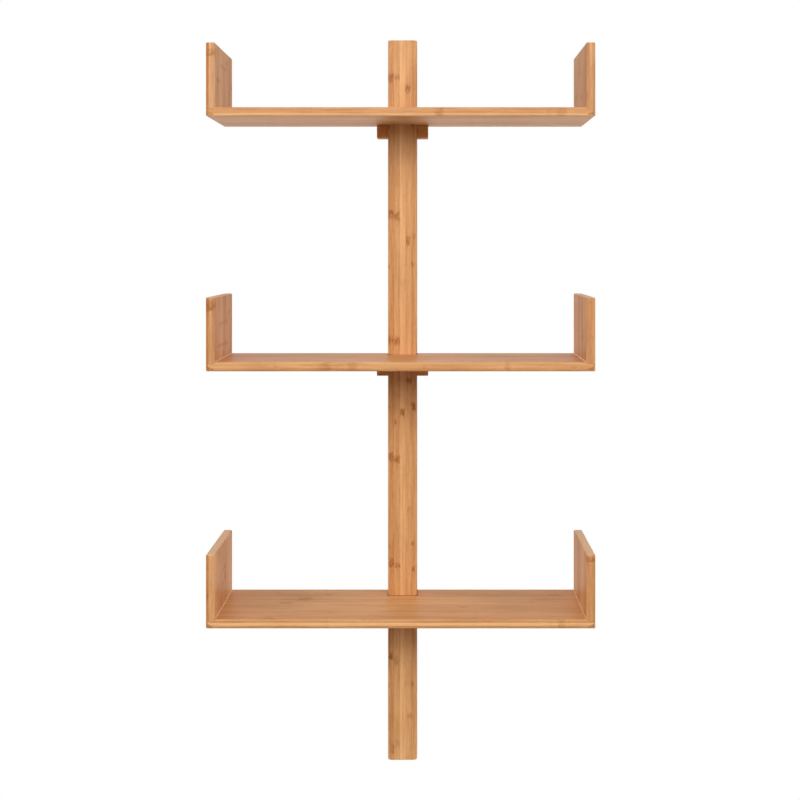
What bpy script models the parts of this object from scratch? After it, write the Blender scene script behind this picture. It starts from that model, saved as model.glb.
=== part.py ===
# Wall shelf of laminated bamboo: a post flat on the wall carries three U-shaped trays on cross cleats.
# Metres, +Z up. The wall is the plane Y = 0 and the front faces -Y.
# The origin is the middle of the post's back.

import math

import bmesh
import bpy
from mathutils import Matrix, Vector

MM = 0.001

# Gap between two pieces that touch
GAP = 0.3 * MM

# How far a cutter runs past the wood that it cuts
REACH = 10 * MM

# Trays: a board with a side panel at each end
TRAY_WIDTH = 600 * MM
TRAY_DEPTH = 150 * MM
TRAY_HEIGHT = 114 * MM
BOARD_THICKNESS = 14 * MM
SIDE_THICKNESS = 14 * MM
TRAY_EDGE_RADIUS = 2.2 * MM

# Lock mitre between a board and a side panel, seen from the front
TONGUE_INSET = 2.6 * MM
TONGUE_DROP = 1.8 * MM
LIP_HEIGHT = 2.4 * MM
SIDE_TONGUE_TIP = 1.0 * MM

# Heights along the post, from one tray's underside to the next
POST_BELOW = 257 * MM
LOWER_PITCH = 396 * MM
UPPER_PITCH = 393 * MM
POST_ABOVE = 25 * MM

# Post
POST_WIDTH = 48 * MM
POST_THICKNESS = 33.4 * MM
POST_FRONT_RADIUS = 6.5 * MM
POST_CHAMFER = 1.2 * MM

# Cleats, half-lapped into the back of the post
CLEAT_WIDTH = 84.7 * MM
CLEAT_HEIGHT = 20.7 * MM
CLEAT_SETBACK = 5.4 * MM
CLEAT_CHAMFER = 0.8 * MM

# Countersunk wood screws
WOOD_SCREW_RADIUS = 2.0 * MM
WOOD_SCREW_HEAD_RADIUS = 4.0 * MM
PLATE_SCREW_RADIUS = 1.7 * MM
PLATE_SCREW_HEAD_RADIUS = 3.4 * MM
PLATE_SCREW_LENGTH = 16 * MM
HEAD_SINK = 0.3 * MM
WOOD_OVER_TIP = 5.5 * MM
CLEAT_SCREW_SPACING = 24 * MM
RECESS_WIDTH = 1.1 * MM

# Keyhole hanger plates, let into the back of the post
PLATE_WIDTH = 20 * MM
PLATE_HEIGHT = 54 * MM
PLATE_THICKNESS = 2.0 * MM
PLATE_CORNER_RADIUS = 4 * MM
PLATE_SCREW_SPACING = 40 * MM
HEAD_HOLE_RADIUS = 6.0 * MM
SLOT_RADIUS = 3.0 * MM
KEYHOLE_TRAVEL = 14 * MM
POCKET_WIDTH = 15 * MM
POCKET_HEIGHT = 30 * MM
POCKET_DEPTH = 12 * MM

# Roundness
ARC_STEPS = 6
KEYHOLE_STEPS = 16
TURNED_STEPS = 16
BEVEL_SEGMENTS = 3
CORNER_ANGLE = math.radians(60)

# Sizes that follow from the ones above
LEVELS = {
    "bottom": POST_BELOW,
    "middle": POST_BELOW + LOWER_PITCH,
    "top": POST_BELOW + LOWER_PITCH + UPPER_PITCH,
}
POST_HEIGHT = LEVELS["top"] + TRAY_HEIGHT + POST_ABOVE
CLEAT_DEPTH = POST_THICKNESS - CLEAT_SETBACK
LAP_DEPTH = CLEAT_DEPTH / 2
CLEAT_BOTTOM = -GAP - CLEAT_HEIGHT
CLEAT_SCREW_LENGTH = POST_THICKNESS - HEAD_SINK - WOOD_OVER_TIP
TRAY_SCREW_LENGTH = BOARD_THICKNESS - CLEAT_BOTTOM - HEAD_SINK - WOOD_OVER_TIP
HANGER_HEIGHTS = {
    "lower": (LEVELS["bottom"] + CLEAT_BOTTOM) / 2,
    "upper": (LEVELS["top"] + POST_HEIGHT) / 2,
}
SIDES = {"left": -1, "right": 1}

# Colours in linear light, with roughness and metallic value
FINISHES = {
    "post_bamboo": ((0.66, 0.34, 0.15), 0.45, 0.0),
    "board_bamboo": ((0.60, 0.30, 0.14), 0.45, 0.0),
    "side_bamboo": ((0.56, 0.29, 0.14), 0.45, 0.0),
    "cleat_bamboo": ((0.58, 0.29, 0.13), 0.5, 0.0),
    "zinc_steel": ((0.62, 0.62, 0.60), 0.35, 1.0),
}


def clear_scene():
    for obj in list(bpy.data.objects):
        bpy.data.objects.remove(obj, do_unlink=True)


def new_collection(name):
    collection = bpy.data.collections.new(name)
    bpy.context.scene.collection.children.link(collection)
    return collection


def new_material(name):
    colour, roughness, metallic = FINISHES[name]
    material = bpy.data.materials.new(name)
    material.use_nodes = True
    shader = material.node_tree.nodes["Principled BSDF"]
    shader.inputs["Base Color"].default_value = (*colour, 1.0)
    shader.inputs["Roughness"].default_value = roughness
    shader.inputs["Metallic"].default_value = metallic
    return material


def add_empty(name, parent, height):
    empty = bpy.data.objects.new(name, None)
    parts.objects.link(empty)
    empty.parent = parent
    empty.location.z = height
    return empty


def add_part(name, mesh, parent, finish, location=(0, 0, 0), rotation=(0, 0, 0)):
    """A piece of the shelf, in its own object and with its own material."""
    part = bpy.data.objects.new(name, mesh)
    parts.objects.link(part)
    part.parent = parent
    part.location = location
    part.rotation_euler = rotation
    if not mesh.materials:
        mesh.materials.append(None)
    part.material_slots[0].link = "OBJECT"
    part.material_slots[0].material = materials[finish]
    return part


def add_cutter(name, mesh, parent, location=(0, 0, 0), rotation=(0, 0, 0)):
    cutter = bpy.data.objects.new(name, mesh)
    cutters.objects.link(cutter)
    cutter.parent = parent
    cutter.location = location
    cutter.rotation_euler = rotation
    cutter.display_type = "WIRE"
    cutter.hide_render = True
    return cutter


def add_boolean(part, cutter, operation="DIFFERENCE"):
    boolean = part.modifiers.new(cutter.name, "BOOLEAN")
    boolean.operation = operation
    boolean.solver = "EXACT"
    boolean.object = cutter


def add_bevel(part, width, segments, limit):
    bevel = part.modifiers.new("edges", "BEVEL")
    bevel.width = width
    bevel.segments = segments
    bevel.limit_method = limit
    bevel.angle_limit = CORNER_ANGLE


def finished_mesh(holder):
    """The evaluated mesh of a helper object, which is then removed."""
    graph = bpy.context.evaluated_depsgraph_get()
    mesh = bpy.data.meshes.new_from_object(holder.evaluated_get(graph))
    mesh.name = holder.name
    bpy.data.objects.remove(holder)
    return mesh


def box_mesh(name, low, high):
    low = Vector(low)
    high = Vector(high)
    place = Matrix.Translation((low + high) / 2) @ Matrix.Diagonal((*(high - low), 1.0))
    mesh = bpy.data.meshes.new(name)
    shape = bmesh.new()
    bmesh.ops.create_cube(shape, size=1.0, matrix=place)
    shape.to_mesh(mesh)
    shape.free()
    return mesh


def prism_mesh(name, outline, low, high, along="Y"):
    """A solid of one outline from low to high, its outline in X and Z, or in X and Y along Z."""
    curve = bpy.data.curves.new(name, "CURVE")
    curve.dimensions = "2D"
    curve.fill_mode = "BOTH"
    curve.extrude = (high - low) / 2
    spline = curve.splines.new("POLY")
    spline.points.add(len(outline) - 1)
    for point, (across, up) in zip(spline.points, outline):
        point.co = (across, up, 0.0, 1.0)
    spline.use_cyclic_u = True
    holder = bpy.data.objects.new(name, curve)
    cutters.objects.link(holder)
    mesh = finished_mesh(holder)
    middle = (low + high) / 2
    if along == "Y":
        mesh.transform(Matrix.Translation((0, middle, 0)) @ Matrix.Rotation(math.pi / 2, 4, "X"))
    else:
        mesh.transform(Matrix.Translation((0, 0, middle)))
    shape = bmesh.new()
    shape.from_mesh(mesh)
    bmesh.ops.remove_doubles(shape, verts=shape.verts, dist=0.001 * MM)
    bmesh.ops.dissolve_limit(shape, angle_limit=math.radians(0.1), verts=shape.verts, edges=shape.edges)
    bmesh.ops.recalc_face_normals(shape, faces=shape.faces)
    shape.to_mesh(mesh)
    shape.free()
    return mesh


def turned_mesh(name, profile, recess=()):
    """A solid turned round Z from a profile that runs top to bottom, with any recess boxes cut out."""
    line = bpy.data.meshes.new(name)
    points = [(radius, 0.0, height) for radius, height in profile]
    line.from_pydata(points, [(i, i + 1) for i in range(len(points) - 1)], [])
    holder = bpy.data.objects.new(name, line)
    cutters.objects.link(holder)
    turn = holder.modifiers.new("turn", "SCREW")
    turn.axis = "Z"
    turn.steps = TURNED_STEPS
    turn.render_steps = TURNED_STEPS
    turn.use_merge_vertices = True
    turn.merge_threshold = 0.01 * MM
    tools = [add_cutter(f"{name}_recess_{i}", mesh, None) for i, mesh in enumerate(recess)]
    for tool in tools:
        add_boolean(holder, tool)
    mesh = finished_mesh(holder)
    for tool in tools:
        bpy.data.objects.remove(tool)
    mesh.shade_smooth()
    mesh.set_sharp_from_angle(angle=math.radians(35))
    return mesh


def arc(centre, radius, start, end, steps):
    """Points on an arc, with angles in degrees, counter-clockwise from the first axis."""
    points = []
    for step in range(steps + 1):
        angle = math.radians(start + (end - start) * step / steps)
        points.append((centre[0] + radius * math.cos(angle), centre[1] + radius * math.sin(angle)))
    return points


def rounded_rectangle(width, low, high, radius):
    """Outline centred on the first axis, from low to high on the second."""
    across = width / 2 - radius
    outline = arc((across, low + radius), radius, -90, 0, ARC_STEPS)
    outline += arc((across, high - radius), radius, 0, 90, ARC_STEPS)
    outline += arc((-across, high - radius), radius, 90, 180, ARC_STEPS)
    outline += arc((-across, low + radius), radius, 180, 270, ARC_STEPS)
    return outline


def shifted_path(path, distance):
    """An open path moved sideways, to its right where the distance is positive."""
    points = [Vector(point) for point in path]
    normals = []
    for start, end in zip(points, points[1:]):
        along = (end - start).normalized()
        normals.append(Vector((along.y, -along.x)))
    moved = [points[0] + normals[0] * distance]
    for point, before, after in zip(points[1:], normals, normals[1:]):
        moved.append(point + (before + after) * distance / (1 + before.dot(after)))
    moved.append(points[-1] + normals[-1] * distance)
    return [tuple(point) for point in moved]


def lock_mitre_path():
    """The joint line from outside the bottom corner to the inner corner, as distance inwards and up."""
    tongue_top = BOARD_THICKNESS - TONGUE_DROP
    tongue_tip_bottom = (tongue_top + LIP_HEIGHT) / 2
    side_tongue_end = SIDE_THICKNESS - TONGUE_INSET
    return [
        (-REACH, -REACH),
        (LIP_HEIGHT, LIP_HEIGHT),
        (side_tongue_end, LIP_HEIGHT),
        (side_tongue_end, LIP_HEIGHT + SIDE_TONGUE_TIP),
        (TONGUE_INSET, tongue_tip_bottom),
        (TONGUE_INSET, tongue_top),
        (SIDE_THICKNESS - TONGUE_DROP, tongue_top),
        (SIDE_THICKNESS + REACH, BOARD_THICKNESS + REACH),
    ]


def side_zone_mesh(name, side, shift):
    """The space of one side panel, up to the joint line, which is shifted towards the board."""
    zone = shifted_path(lock_mitre_path(), shift)
    zone += [(SIDE_THICKNESS + REACH, TRAY_HEIGHT + REACH), (-REACH, TRAY_HEIGHT + REACH)]
    outline = [(side * (TRAY_WIDTH / 2 - inwards), up) for inwards, up in zone]
    return prism_mesh(name, outline, -TRAY_DEPTH - REACH, REACH)


def tray_blank_mesh():
    """Board and side panels in one piece, from which the three are cut, with its convex edges marked."""
    outer = TRAY_WIDTH / 2
    inner = outer - SIDE_THICKNESS
    outline = [
        (-outer, 0),
        (outer, 0),
        (outer, TRAY_HEIGHT),
        (inner, TRAY_HEIGHT),
        (inner, BOARD_THICKNESS),
        (-inner, BOARD_THICKNESS),
        (-inner, TRAY_HEIGHT),
        (-outer, TRAY_HEIGHT),
    ]
    mesh = prism_mesh("tray_blank", outline, -TRAY_DEPTH, 0)
    shape = bmesh.new()
    shape.from_mesh(mesh)
    weights = shape.edges.layers.float.new("bevel_weight_edge")
    for edge in shape.edges:
        if edge.calc_face_angle_signed() > CORNER_ANGLE:
            edge[weights] = 1.0
    shape.to_mesh(mesh)
    shape.free()
    return mesh


def screw_profile(radius, head_radius, length):
    """A countersunk screw with its head's top at the origin, pointing down."""
    tip = 2 * radius
    return [
        (0, 0),
        (head_radius, 0),
        (radius, radius - head_radius),
        (radius, tip - length),
        (0, -length),
    ]


def screw_hole_profile(radius, head_radius, length):
    """The hole of the same screw, wider by the gap and open above the head."""
    return [
        (0, REACH),
        (head_radius + GAP, REACH),
        (head_radius + GAP, 0),
        (radius + GAP, radius - head_radius),
        (radius + GAP, -length - GAP),
        (0, -length - GAP),
    ]


def screw_meshes(name, radius, head_radius, length):
    """A screw with a cross recess, and the cutter of its hole."""
    half_long = head_radius * 0.6
    half_wide = RECESS_WIDTH / 2
    depth = (head_radius - radius) * 0.8
    recess = [
        box_mesh("recess_bar", (-half_long, -half_wide, -depth), (half_long, half_wide, GAP)),
        box_mesh("recess_bar", (-half_wide, -half_long, -depth), (half_wide, half_long, GAP)),
    ]
    screw = turned_mesh(name, screw_profile(radius, head_radius, length), recess)
    hole = turned_mesh(f"{name}_hole", screw_hole_profile(radius, head_radius, length))
    return screw, hole


def add_screw(name, meshes, parent, location, rotation, pieces):
    """A screw, and its hole through each piece that it holds."""
    screw_mesh, hole_mesh = meshes
    add_part(name, screw_mesh, parent, "zinc_steel", location, rotation)
    hole = add_cutter(f"{name}_hole", hole_mesh, parent, location, rotation)
    for piece in pieces:
        add_boolean(piece, hole)


def build_post():
    """Upright bar with rounded long front edges and chamfered ends."""
    half = POST_WIDTH / 2
    round_x = half - POST_FRONT_RADIUS
    round_y = -POST_THICKNESS + POST_FRONT_RADIUS
    outline = [(half, 0), (-half, 0)]
    outline += arc((-round_x, round_y), POST_FRONT_RADIUS, 180, 270, ARC_STEPS)
    outline += arc((round_x, round_y), POST_FRONT_RADIUS, 270, 360, ARC_STEPS)
    post = add_part("post", prism_mesh("post", outline, 0, POST_HEIGHT, "Z"), shelf, "post_bamboo")
    add_bevel(post, POST_CHAMFER, 2, "ANGLE")
    return post


def build_board(level, tray):
    """The flat board, cut to the joint lines and notched round the post."""
    board = add_part(f"board_{level}", tray_blank, tray, "board_bamboo")
    add_bevel(board, TRAY_EDGE_RADIUS, BEVEL_SEGMENTS, "WEIGHT")
    for side_name, side in SIDES.items():
        zone_name = f"board_end_{level}_{side_name}"
        zone = add_cutter(zone_name, side_zone_mesh(zone_name, side, GAP / 2), tray)
        add_boolean(board, zone)
    half = POST_WIDTH / 2 + GAP
    low = (-half, -POST_THICKNESS - GAP, -REACH)
    high = (half, REACH, BOARD_THICKNESS + REACH)
    notch = add_cutter(f"board_notch_{level}", box_mesh("board_notch", low, high), tray)
    add_boolean(board, notch)
    return board


def build_sides(level, tray):
    """The two side panels, the blank's ends beyond the joint lines."""
    for side_name, side in SIDES.items():
        panel = add_part(f"side_{level}_{side_name}", tray_blank, tray, "side_bamboo")
        add_bevel(panel, TRAY_EDGE_RADIUS, BEVEL_SEGMENTS, "WEIGHT")
        zone_name = f"side_end_{level}_{side_name}"
        zone = add_cutter(zone_name, side_zone_mesh(zone_name, side, -GAP / 2), tray)
        add_boolean(panel, zone, "INTERSECT")


def build_cleat(level, tray, post):
    """The cross block under a tray, half-lapped with the post."""
    half = CLEAT_WIDTH / 2
    mesh = box_mesh(f"cleat_{level}", (-half, -CLEAT_DEPTH, CLEAT_BOTTOM), (half, 0, -GAP))
    cleat = add_part(f"cleat_{level}", mesh, tray, "cleat_bamboo")
    add_bevel(cleat, CLEAT_CHAMFER, 1, "ANGLE")

    lap_half = POST_WIDTH / 2 + GAP
    low = (-lap_half, -CLEAT_DEPTH - REACH, CLEAT_BOTTOM - REACH)
    lap = add_cutter(f"cleat_lap_{level}", box_mesh("cleat_lap", low, (lap_half, -LAP_DEPTH, REACH)), tray)
    add_boolean(cleat, lap)

    dado_half = POST_WIDTH / 2 + REACH
    low = (-dado_half, -LAP_DEPTH - GAP, CLEAT_BOTTOM - GAP)
    dado = add_cutter(f"post_dado_{level}", box_mesh("post_dado", low, (dado_half, REACH, 0)), tray)
    add_boolean(post, dado)
    return cleat


def build_tray_screws(level, tray, post, board, cleat):
    """Two screws from the back into the post, and two from below into the board."""
    back = -HEAD_SINK
    lap_middle = (CLEAT_BOTTOM - GAP) / 2
    stub_middle = (POST_WIDTH + CLEAT_WIDTH) / 4
    for side_name, side in SIDES.items():
        place = (side * CLEAT_SCREW_SPACING / 2, back, lap_middle)
        name = f"cleat_screw_{level}_{side_name}"
        add_screw(name, cleat_screw, tray, place, POINTING_FORWARD, [cleat, post])
        place = (side * stub_middle, -CLEAT_DEPTH / 2, CLEAT_BOTTOM + HEAD_SINK)
        name = f"tray_screw_{level}_{side_name}"
        add_screw(name, tray_screw, tray, place, POINTING_UP, [cleat, board])


def keyhole_outline():
    """A round hole for the screw's head, with a slot above it for its neck."""
    mouth = math.degrees(math.asin(SLOT_RADIUS / HEAD_HOLE_RADIUS))
    low = (0, -KEYHOLE_TRAVEL / 2)
    high = (0, KEYHOLE_TRAVEL / 2)
    outline = arc(low, HEAD_HOLE_RADIUS, 90 + mouth, 450 - mouth, KEYHOLE_STEPS)
    outline += arc(high, SLOT_RADIUS, 0, 180, ARC_STEPS)
    return outline


def build_hanger(place_name, height, post):
    """A keyhole plate in its recess, over a pocket for the wall screw's head."""
    hanger = add_empty(f"hanger_{place_name}", shelf, height)
    face = -HEAD_SINK
    front = face - PLATE_THICKNESS
    half = PLATE_HEIGHT / 2
    outline = rounded_rectangle(PLATE_WIDTH, -half, half, PLATE_CORNER_RADIUS)
    name = f"hanger_plate_{place_name}"
    plate = add_part(name, prism_mesh(name, outline, front, face), hanger, "zinc_steel")
    keyhole_mesh = prism_mesh("keyhole", keyhole_outline(), front - REACH, REACH)
    add_boolean(plate, add_cutter(f"keyhole_{place_name}", keyhole_mesh, hanger))

    outline = rounded_rectangle(PLATE_WIDTH + 2 * GAP, -half - GAP, half + GAP, PLATE_CORNER_RADIUS + GAP)
    recess_mesh = prism_mesh("plate_recess", outline, front - GAP, REACH)
    add_boolean(post, add_cutter(f"plate_recess_{place_name}", recess_mesh, hanger))
    half = POCKET_HEIGHT / 2
    outline = rounded_rectangle(POCKET_WIDTH, -half, half, PLATE_CORNER_RADIUS)
    pocket_mesh = prism_mesh("pocket", outline, -POCKET_DEPTH, 0)
    add_boolean(post, add_cutter(f"pocket_{place_name}", pocket_mesh, hanger))

    for end_name, end in (("above", 1), ("below", -1)):
        place = (0, face - HEAD_SINK, end * PLATE_SCREW_SPACING / 2)
        name = f"plate_screw_{place_name}_{end_name}"
        add_screw(name, plate_screw, hanger, place, POINTING_FORWARD, [plate, post])


# Turns that point a screw, which points down, to the front or upwards
POINTING_FORWARD = (-math.pi / 2, 0, 0)
POINTING_UP = (math.pi, 0, 0)

clear_scene()
parts = new_collection("wall_shelf")
cutters = new_collection("cutters")
materials = {name: new_material(name) for name in FINISHES}

cleat_screw = screw_meshes("cleat_screw", WOOD_SCREW_RADIUS, WOOD_SCREW_HEAD_RADIUS, CLEAT_SCREW_LENGTH)
tray_screw = screw_meshes("tray_screw", WOOD_SCREW_RADIUS, WOOD_SCREW_HEAD_RADIUS, TRAY_SCREW_LENGTH)
plate_screw = screw_meshes("plate_screw", PLATE_SCREW_RADIUS, PLATE_SCREW_HEAD_RADIUS, PLATE_SCREW_LENGTH)
tray_blank = tray_blank_mesh()

shelf = add_empty("foot_of_post", None, -POST_HEIGHT / 2)
post_part = build_post()
for level_name, level_height in LEVELS.items():
    tray_origin = add_empty(f"tray_{level_name}", shelf, level_height)
    board_part = build_board(level_name, tray_origin)
    build_sides(level_name, tray_origin)
    cleat_part = build_cleat(level_name, tray_origin, post_part)
    build_tray_screws(level_name, tray_origin, post_part, board_part, cleat_part)
for hanger_name, hanger_height in HANGER_HEIGHTS.items():
    build_hanger(hanger_name, hanger_height, post_part)
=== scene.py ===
# Bamboo wall shelf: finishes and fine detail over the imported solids.
# Metres, +Z up. The wall is the plane Y = 0, and the front faces -Y.
# The origin is the middle of the post's back.

import math

import bpy
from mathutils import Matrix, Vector


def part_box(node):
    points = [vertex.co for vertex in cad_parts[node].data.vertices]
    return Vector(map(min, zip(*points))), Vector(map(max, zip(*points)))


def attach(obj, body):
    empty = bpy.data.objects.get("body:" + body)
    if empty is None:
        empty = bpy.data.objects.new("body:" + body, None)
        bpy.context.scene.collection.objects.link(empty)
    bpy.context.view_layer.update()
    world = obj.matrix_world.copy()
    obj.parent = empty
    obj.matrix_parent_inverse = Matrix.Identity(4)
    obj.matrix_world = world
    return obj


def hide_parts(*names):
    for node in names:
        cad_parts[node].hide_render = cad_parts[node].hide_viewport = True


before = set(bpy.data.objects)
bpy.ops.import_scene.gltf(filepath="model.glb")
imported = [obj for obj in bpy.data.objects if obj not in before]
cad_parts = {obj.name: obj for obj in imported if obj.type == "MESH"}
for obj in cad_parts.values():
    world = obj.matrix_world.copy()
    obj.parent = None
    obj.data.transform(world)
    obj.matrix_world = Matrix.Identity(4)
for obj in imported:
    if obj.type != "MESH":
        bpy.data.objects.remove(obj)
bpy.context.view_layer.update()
mm = 0.001
levels = ("bottom", "middle", "top")
sides = {"left": -1, "right": 1}
print("frame:", len(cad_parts), "solids loaded")


# Selection and editing

def selectOnly(piece):
    bpy.ops.object.select_all(action="DESELECT")
    piece.select_set(True)
    bpy.context.view_layer.objects.active = piece


def editAll(piece):
    selectOnly(piece)
    bpy.ops.object.mode_set(mode="EDIT")
    bpy.ops.mesh.select_all(action="SELECT")


def editVertices(piece, chosen):
    # edit mode with only those vertices selected whose place is chosen
    editAll(piece)
    bpy.ops.mesh.select_all(action="DESELECT")
    bpy.ops.object.mode_set(mode="OBJECT")
    for vertex in piece.data.vertices:
        vertex.select = chosen(vertex.co)
    bpy.ops.object.mode_set(mode="EDIT")


def applyModifier(piece, kind, **settings):
    selectOnly(piece)
    modifier = piece.modifiers.new(kind.lower(), kind)
    for name, value in settings.items():
        setattr(modifier, name, value)
    bpy.ops.object.modifier_apply(modifier=modifier.name)


def settle(piece):
    # the place goes into the mesh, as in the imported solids
    selectOnly(piece)
    bpy.ops.object.transform_apply(location=True, rotation=True, scale=True)


def copyTo(piece, shift, mirrored=False):
    # a copy with its own mesh, moved, or mirrored to the shelf's other side
    selectOnly(piece)
    bpy.ops.object.duplicate()
    twin = bpy.context.object
    editAll(twin)
    if mirrored:
        bpy.ops.transform.mirror(constraint_axis=(True, False, False), center_override=(0, 0, 0))
        bpy.ops.mesh.normals_make_consistent(inside=False)
    bpy.ops.transform.translate(value=shift)
    bpy.ops.object.mode_set(mode="OBJECT")
    return twin


def finishPiece(piece, name, material):
    piece.name = name
    piece.data.name = name
    piece.data.materials.clear()
    piece.data.materials.append(material)
    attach(piece, "root")


# Shader building

def put(tree, socket, value):
    if isinstance(value, bpy.types.NodeSocket):
        tree.links.new(value, socket)
    elif value is not None:
        socket.default_value = value


def addNode(tree, kind, values=(), **settings):
    node = tree.nodes.new(kind)
    for name, value in settings.items():
        setattr(node, name, value)
    for socket, value in zip(node.inputs, values):
        put(tree, socket, value)
    return node


def calc(tree, operation, *values, clamp=False):
    return addNode(tree, "ShaderNodeMath", values, operation=operation, use_clamp=clamp).outputs[0]


def vectorCalc(tree, operation, *values):
    return addNode(tree, "ShaderNodeVectorMath", values, operation=operation).outputs[0]


def split(tree, vector):
    return addNode(tree, "ShaderNodeSeparateXYZ", (vector,)).outputs


def join(tree, x, y, z):
    return addNode(tree, "ShaderNodeCombineXYZ", (x, y, z)).outputs[0]


def ramp(tree, value, low, high, start=0.0, end=1.0, linear=False):
    # runs from start to end while the value goes from low to high
    kind = "LINEAR" if linear else "SMOOTHSTEP"
    node = addNode(tree, "ShaderNodeMapRange", (value, low, high, start, end), interpolation_type=kind)
    return node.outputs[0]


def steps(tree, value, stops):
    # a number that jumps at each stop, for stops of (from value, number between -0.5 and 0.5)
    low, high = stops[0][0], stops[-1][0] + 10 * mm
    node = addNode(tree, "ShaderNodeValToRGB", (ramp(tree, value, low, high, linear=True),))
    node.color_ramp.interpolation = "CONSTANT"
    points = node.color_ramp.elements
    while len(points) > len(stops):
        points.remove(points[-1])
    while len(points) < len(stops):
        points.new(1.0)
    for point, (start, number) in zip(points, stops):
        point.position = (start - low) / (high - low)
        point.color = (0.5 + number,) * 3 + (1,)
    return calc(tree, "SUBTRACT", node.outputs[0], 0.5)


def stretch(tree, vector, scale):
    return addNode(tree, "ShaderNodeMapping", (vector, None, None, scale)).outputs[0]


def noise(tree, vector, detail=2.0):
    node = addNode(tree, "ShaderNodeTexNoise", (vector, None, 1.0, detail))
    return node.outputs[0]


def draws(tree, cell):
    # random numbers, the same all over a cell
    return addNode(tree, "ShaderNodeTexWhiteNoise", (cell,), noise_dimensions="3D").outputs


def blendColour(tree, factor, first, second, mode="MIX"):
    node = addNode(tree, "ShaderNodeMix", data_type="RGBA", blend_type=mode)
    put(tree, node.inputs[0], factor)
    put(tree, node.inputs[6], first)
    put(tree, node.inputs[7], second)
    return node.outputs[2]


def newMaterial(name):
    material = bpy.data.materials.new(name)
    material.use_nodes = True
    tree = material.node_tree
    return material, tree, tree.nodes["Principled BSDF"]


def addBump(tree, shader, height, strength, distance):
    bump = addNode(tree, "ShaderNodeBump")
    bump.inputs["Strength"].default_value = strength
    bump.inputs["Distance"].default_value = distance
    tree.links.new(height, bump.inputs["Height"])
    tree.links.new(bump.outputs[0], shader.inputs["Normal"])


def newGroup(name, inputs, outputs):
    tree = bpy.data.node_groups.new(name, "ShaderNodeTree")
    for socketName, kind, value in inputs:
        socket = tree.interface.new_socket(socketName, in_out="INPUT", socket_type="NodeSocket" + kind)
        if value is not None:
            socket.default_value = value
    for socketName, kind in outputs:
        tree.interface.new_socket(socketName, in_out="OUTPUT", socket_type="NodeSocket" + kind)
    return tree, tree.nodes.new("NodeGroupInput").outputs, tree.nodes.new("NodeGroupOutput").inputs


def useGroup(tree, group, **values):
    node = tree.nodes.new("ShaderNodeGroup")
    node.node_tree = group
    for name, value in values.items():
        put(tree, node.inputs[name.replace("_", " ")], value)
    return node.outputs


# Bamboo's shader groups work in grain coordinates: X along the grain, Y across the strips, Z through plies.
# A scale is a noise's cells per metre along each of them, and an edge is where a smooth step starts and ends.

# Knuckles, the rings that a cane grows: heights are in half heights of the knuckle
knuckleValues = {
    "blotchScale": (190, 300, 300),
    "blotchEdge": (0.34, 0.56),
    "blotchLeast": 0.45,
    "blockDepth": 0.72,  # of the brown blotch
    "blockEdge": (0.5, 1.2),
    "swayScale": (25, 130, 130),
    "sway": 5.0,  # of the core line, up and down
    "coreDepth": 0.30,
    "coreEdge": (0.05, 0.5),
    "coreEnd": (0.8, 1.2),
    "tailBelow": 0.2,  # how much longer the streaks are below
    "tailDepth": 0.6,
    "tailEdge": (0.4, 2.4),
    "streakEdge": (0.5, 0.64),
    "nowhere": 9.0,  # a height too far off to show
    "reach": 4.0,  # beyond this height a chosen knuckle doesn't show
    "sideEdge": (0.7, 1.15),  # in half widths
}


def makeKnuckle():
    # a ragged brown blotch with a darker core, and streaks that run out of it
    values = knuckleValues
    inputs = (("Vector", "Vector", None), ("Up", "Float", values["nowhere"]), ("Streaks", "Float", 0.0),
              ("Core Depth", "Float", values["coreDepth"]))
    tree, given, out = newGroup("bambooKnuckle", inputs, (("Mark", "Float"),))
    far = calc(tree, "ABSOLUTE", given["Up"])
    blotches = noise(tree, stretch(tree, given["Vector"], values["blotchScale"]), detail=3.0)
    blotches = ramp(tree, blotches, *values["blotchEdge"], values["blotchLeast"], 1.0)
    block = calc(tree, "MULTIPLY", ramp(tree, far, *values["blockEdge"], values["blockDepth"], 0.0), blotches)
    sway = noise(tree, stretch(tree, given["Vector"], values["swayScale"]))
    sway = calc(tree, "MULTIPLY_ADD", sway, values["sway"], -values["sway"] / 2)
    fromCore = calc(tree, "ABSOLUTE", calc(tree, "SUBTRACT", given["Up"], sway))
    core = ramp(tree, fromCore, *values["coreEdge"], given["Core Depth"], 0.0)
    core = calc(tree, "MULTIPLY", core, ramp(tree, far, *values["coreEnd"], 1.0, 0.0))
    below = values["tailBelow"]
    length = calc(tree, "MULTIPLY_ADD", given["Up"], below, calc(tree, "MULTIPLY", far, 1 - below))
    tail = ramp(tree, length, *values["tailEdge"], values["tailDepth"], 0.0)
    tail = calc(tree, "MULTIPLY", tail, ramp(tree, given["Streaks"], *values["streakEdge"]))
    mark = calc(tree, "MAXIMUM", calc(tree, "ADD", block, core, clamp=True), tail)
    tree.links.new(mark, out["Mark"])
    return tree


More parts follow.
